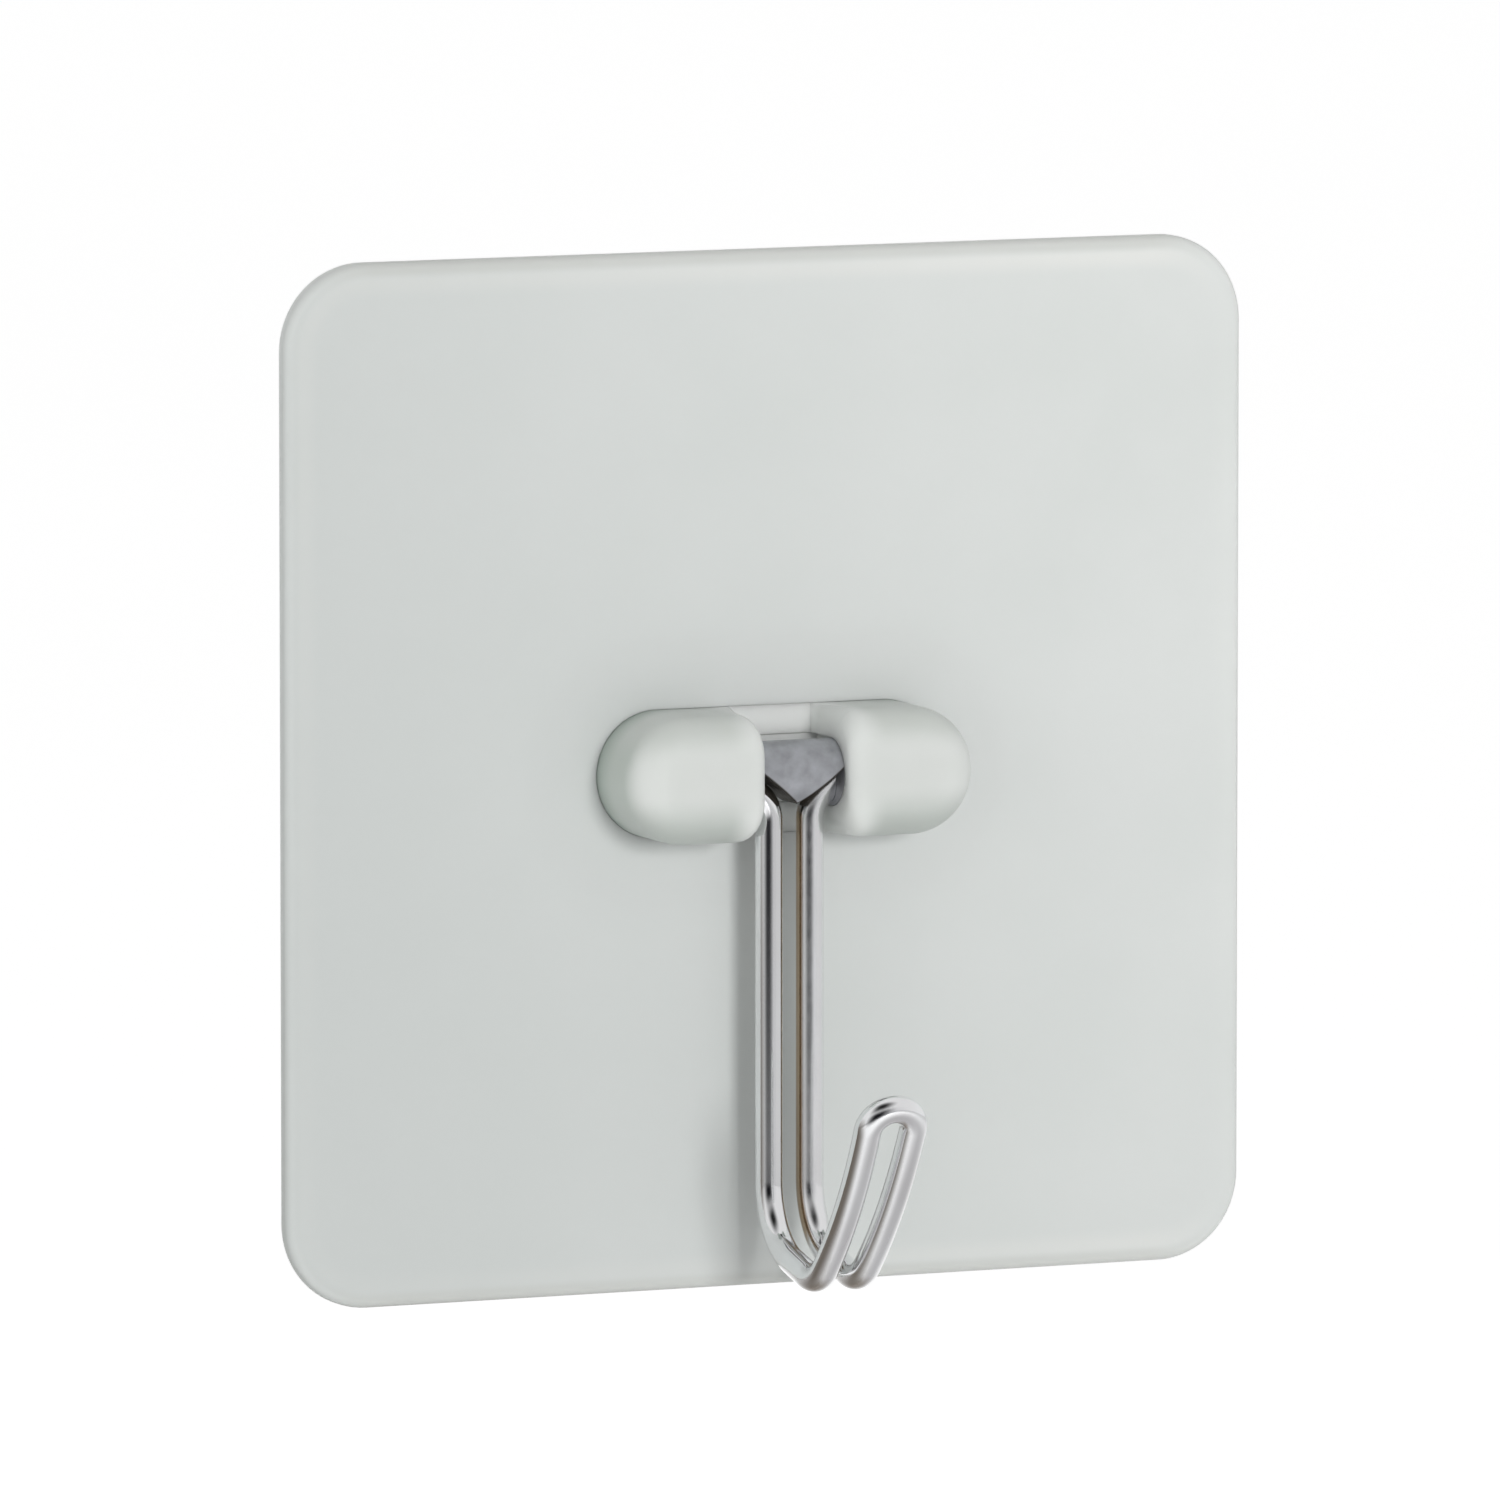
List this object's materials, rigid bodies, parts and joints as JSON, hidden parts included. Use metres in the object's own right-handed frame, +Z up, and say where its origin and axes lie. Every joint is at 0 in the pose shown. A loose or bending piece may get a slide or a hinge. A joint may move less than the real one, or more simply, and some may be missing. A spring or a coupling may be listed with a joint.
{
  "type": "adhesive wall hook",
  "caption": "Self-adhesive wall hook: a clear rounded-square sheet holds a pill-shaped bracket, and a looped chrome wire hook swings up on a barrel pivot in the bracket's slot.",
  "frame": {"origin": "centre of the adhesive face that meets the wall", "axes": "+X to the right along the pivot axis, +Y into the wall, +Z up"},
  "size_m": [0.06, 0.0201, 0.06],
  "materials": {
    "clear_sheet": "frosted clear",
    "adhesive": "clear and tacky",
    "milky_plastic": "milky, satin",
    "cast_zinc": "dull cast",
    "chromed_wire": "bright plated"
  },
  "bodies": {
    "base": {"front_sheet": "clear_sheet", "adhesive_film": "adhesive", "hook_bracket": "milky_plastic", "axle_keeper": "milky_plastic"},
    "hook": {"pivot_barrel": "cast_zinc", "hook_wire": "chromed_wire"}
  },
  "joints": [
    {"name": "hook_swing", "type": "hinge", "parent": "base", "child": "hook", "pos_m": [0, -0.0044, 0], "axis": [-1, 0, 0], "range_deg": [-4, 144]}
  ]
}
